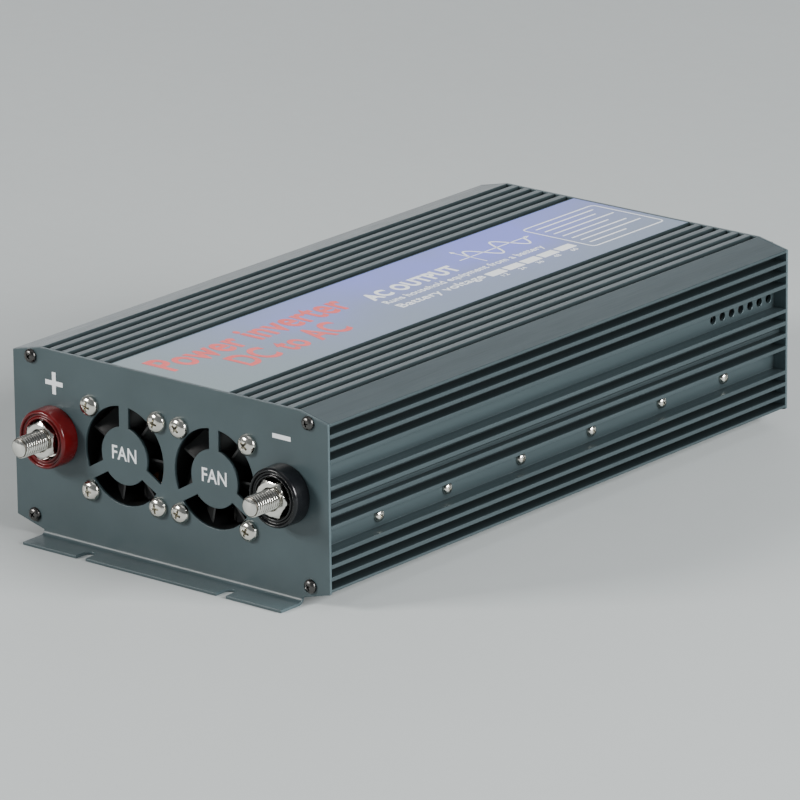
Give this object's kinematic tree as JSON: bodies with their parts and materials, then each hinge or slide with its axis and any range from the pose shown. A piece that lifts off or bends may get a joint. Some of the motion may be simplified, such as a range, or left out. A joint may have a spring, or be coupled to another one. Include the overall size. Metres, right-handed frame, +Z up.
{
  "type": "power inverter",
  "caption": "Mains power inverter in a finned two-shell case, with paired fans and battery studs on one end and sockets and a switch on the other.",
  "frame": {"origin": "under the middle of the part's overall length and width, on the plane the mounting flanges rest on", "axes": "+Z up; the panel with the fans and battery studs faces -Y; +X is to the right for a viewer facing that panel"},
  "size_m": [0.185, 0.3768, 0.0899],
  "materials": {
    "case_aluminium": "fine satin anodised, dark grey with a faint teal cast",
    "panel_paint": "satin powder coat, dark grey",
    "dark_screw": "blackened steel",
    "nickel": "bright nickel plate",
    "zinc_steel": "machined and plated steel",
    "label_film": "printed film, blue-grey to violet",
    "red_plastic": "glossy dark red moulding",
    "black_plastic": "glossy black moulding",
    "fan_plastic": "satin black moulding",
    "magnet": "bonded ferrite",
    "shaft_steel": "ground steel",
    "copper": "plain copper",
    "board_green": "glass epoxy with green solder mask",
    "ferrite": "sintered ferrite",
    "winding_tape": "yellow polyester tape over copper",
    "capacitor_sleeve": "shrunk sleeve over an aluminium can",
    "film_box": "filled plastic box",
    "semiconductor": "black epoxy",
    "insulator": "silicone rubber sheet and nylon",
    "fuse_orange": "clear orange plastic",
    "socket_plastic": "satin black thermoplastic",
    "brass_contact": "plain brass",
    "switch_red": "glossy red rocker",
    "lamp_green": "tinted clear epoxy",
    "lamp_red": "tinted clear epoxy",
    "wire_sheath": "PVC wire insulation"
  },
  "bodies": {
    "case": {"upper_shell": "case_aluminium", "lower_shell": "case_aluminium", "front_panel": "panel_paint", "rear_panel": "panel_paint", "panel_screws": "dark_screw", "side_screws": "nickel", "fan_screws": "nickel", "fan_nuts": "nickel", "top_label": "label_film", "positive_terminal_body": "red_plastic", "negative_terminal_body": "black_plastic", "positive_stud": "zinc_steel", "negative_stud": "zinc_steel", "terminal_washers": "zinc_steel", "inner_insulators": "insulator", "inner_nuts": "zinc_steel", "positive_busbar": "copper", "negative_busbar": "copper", "busbar_screws": "zinc_steel", "left_fan_frame": "fan_plastic", "right_fan_frame": "fan_plastic", "fan_stators": "copper", "fan_leads": "wire_sheath", "main_board": "board_green", "left_transformer_core": "ferrite", "right_transformer_core": "ferrite", "left_transformer_winding": "winding_tape", "right_transformer_winding": "winding_tape", "input_capacitors": "capacitor_sleeve", "bulk_capacitors": "capacitor_sleeve", "transistors": "semiconductor", "insulating_strips": "insulator", "clamp_bars": "zinc_steel", "blade_fuses": "fuse_orange", "inductor_cores": "ferrite", "inductor_windings": "copper", "film_capacitors": "film_box", "control_board": "board_green", "control_chips": "semiconductor", "buzzer": "black_plastic", "left_socket": "socket_plastic", "right_socket": "socket_plastic", "socket_contacts": "brass_contact", "socket_screws": "dark_screw", "switch_housing": "black_plastic", "power_lamp": "lamp_green", "fault_lamp": "lamp_red", "earth_stud": "brass_contact", "socket_wires": "wire_sheath", "signal_wires": "wire_sheath"},
    "left_fan_rotor": {"left_fan_impeller": "fan_plastic", "left_fan_magnet": "magnet", "left_fan_shaft": "shaft_steel"},
    "right_fan_rotor": {"right_fan_impeller": "fan_plastic", "right_fan_magnet": "magnet", "right_fan_shaft": "shaft_steel"},
    "positive_nut": {"positive_nut": "zinc_steel"},
    "negative_nut": {"negative_nut": "zinc_steel"},
    "earth_nut": {"earth_nut": "brass_contact"},
    "rocker": {"switch_rocker": "switch_red"}
  },
  "joints": [
    {"name": "left_fan_spin", "type": "hinge", "parent": "case", "child": "left_fan_rotor", "pos_m": [-0.02655, -0.155, 0.0482], "axis": [0, 1, 0], "continuous": true},
    {"name": "right_fan_spin", "type": "hinge", "parent": "case", "child": "right_fan_rotor", "pos_m": [0.02655, -0.155, 0.0482], "axis": [0, 1, 0], "continuous": true},
    {"name": "positive_nut_slide", "type": "slide", "parent": "case", "child": "positive_nut", "axis": [0, -1, 0], "range_m": [0, 0.012]},
    {"name": "negative_nut_slide", "type": "slide", "parent": "case", "child": "negative_nut", "axis": [0, -1, 0], "range_m": [0, 0.012]},
    {"name": "earth_nut_slide", "type": "slide", "parent": "case", "child": "earth_nut", "axis": [0, 1, 0], "range_m": [0, 0.007]},
    {"name": "rocker_tilt", "type": "hinge", "parent": "case", "child": "rocker", "pos_m": [-0.05, 0.173, 0.064], "axis": [1, 0, 0], "range_deg": [0, 20]}
  ]
}
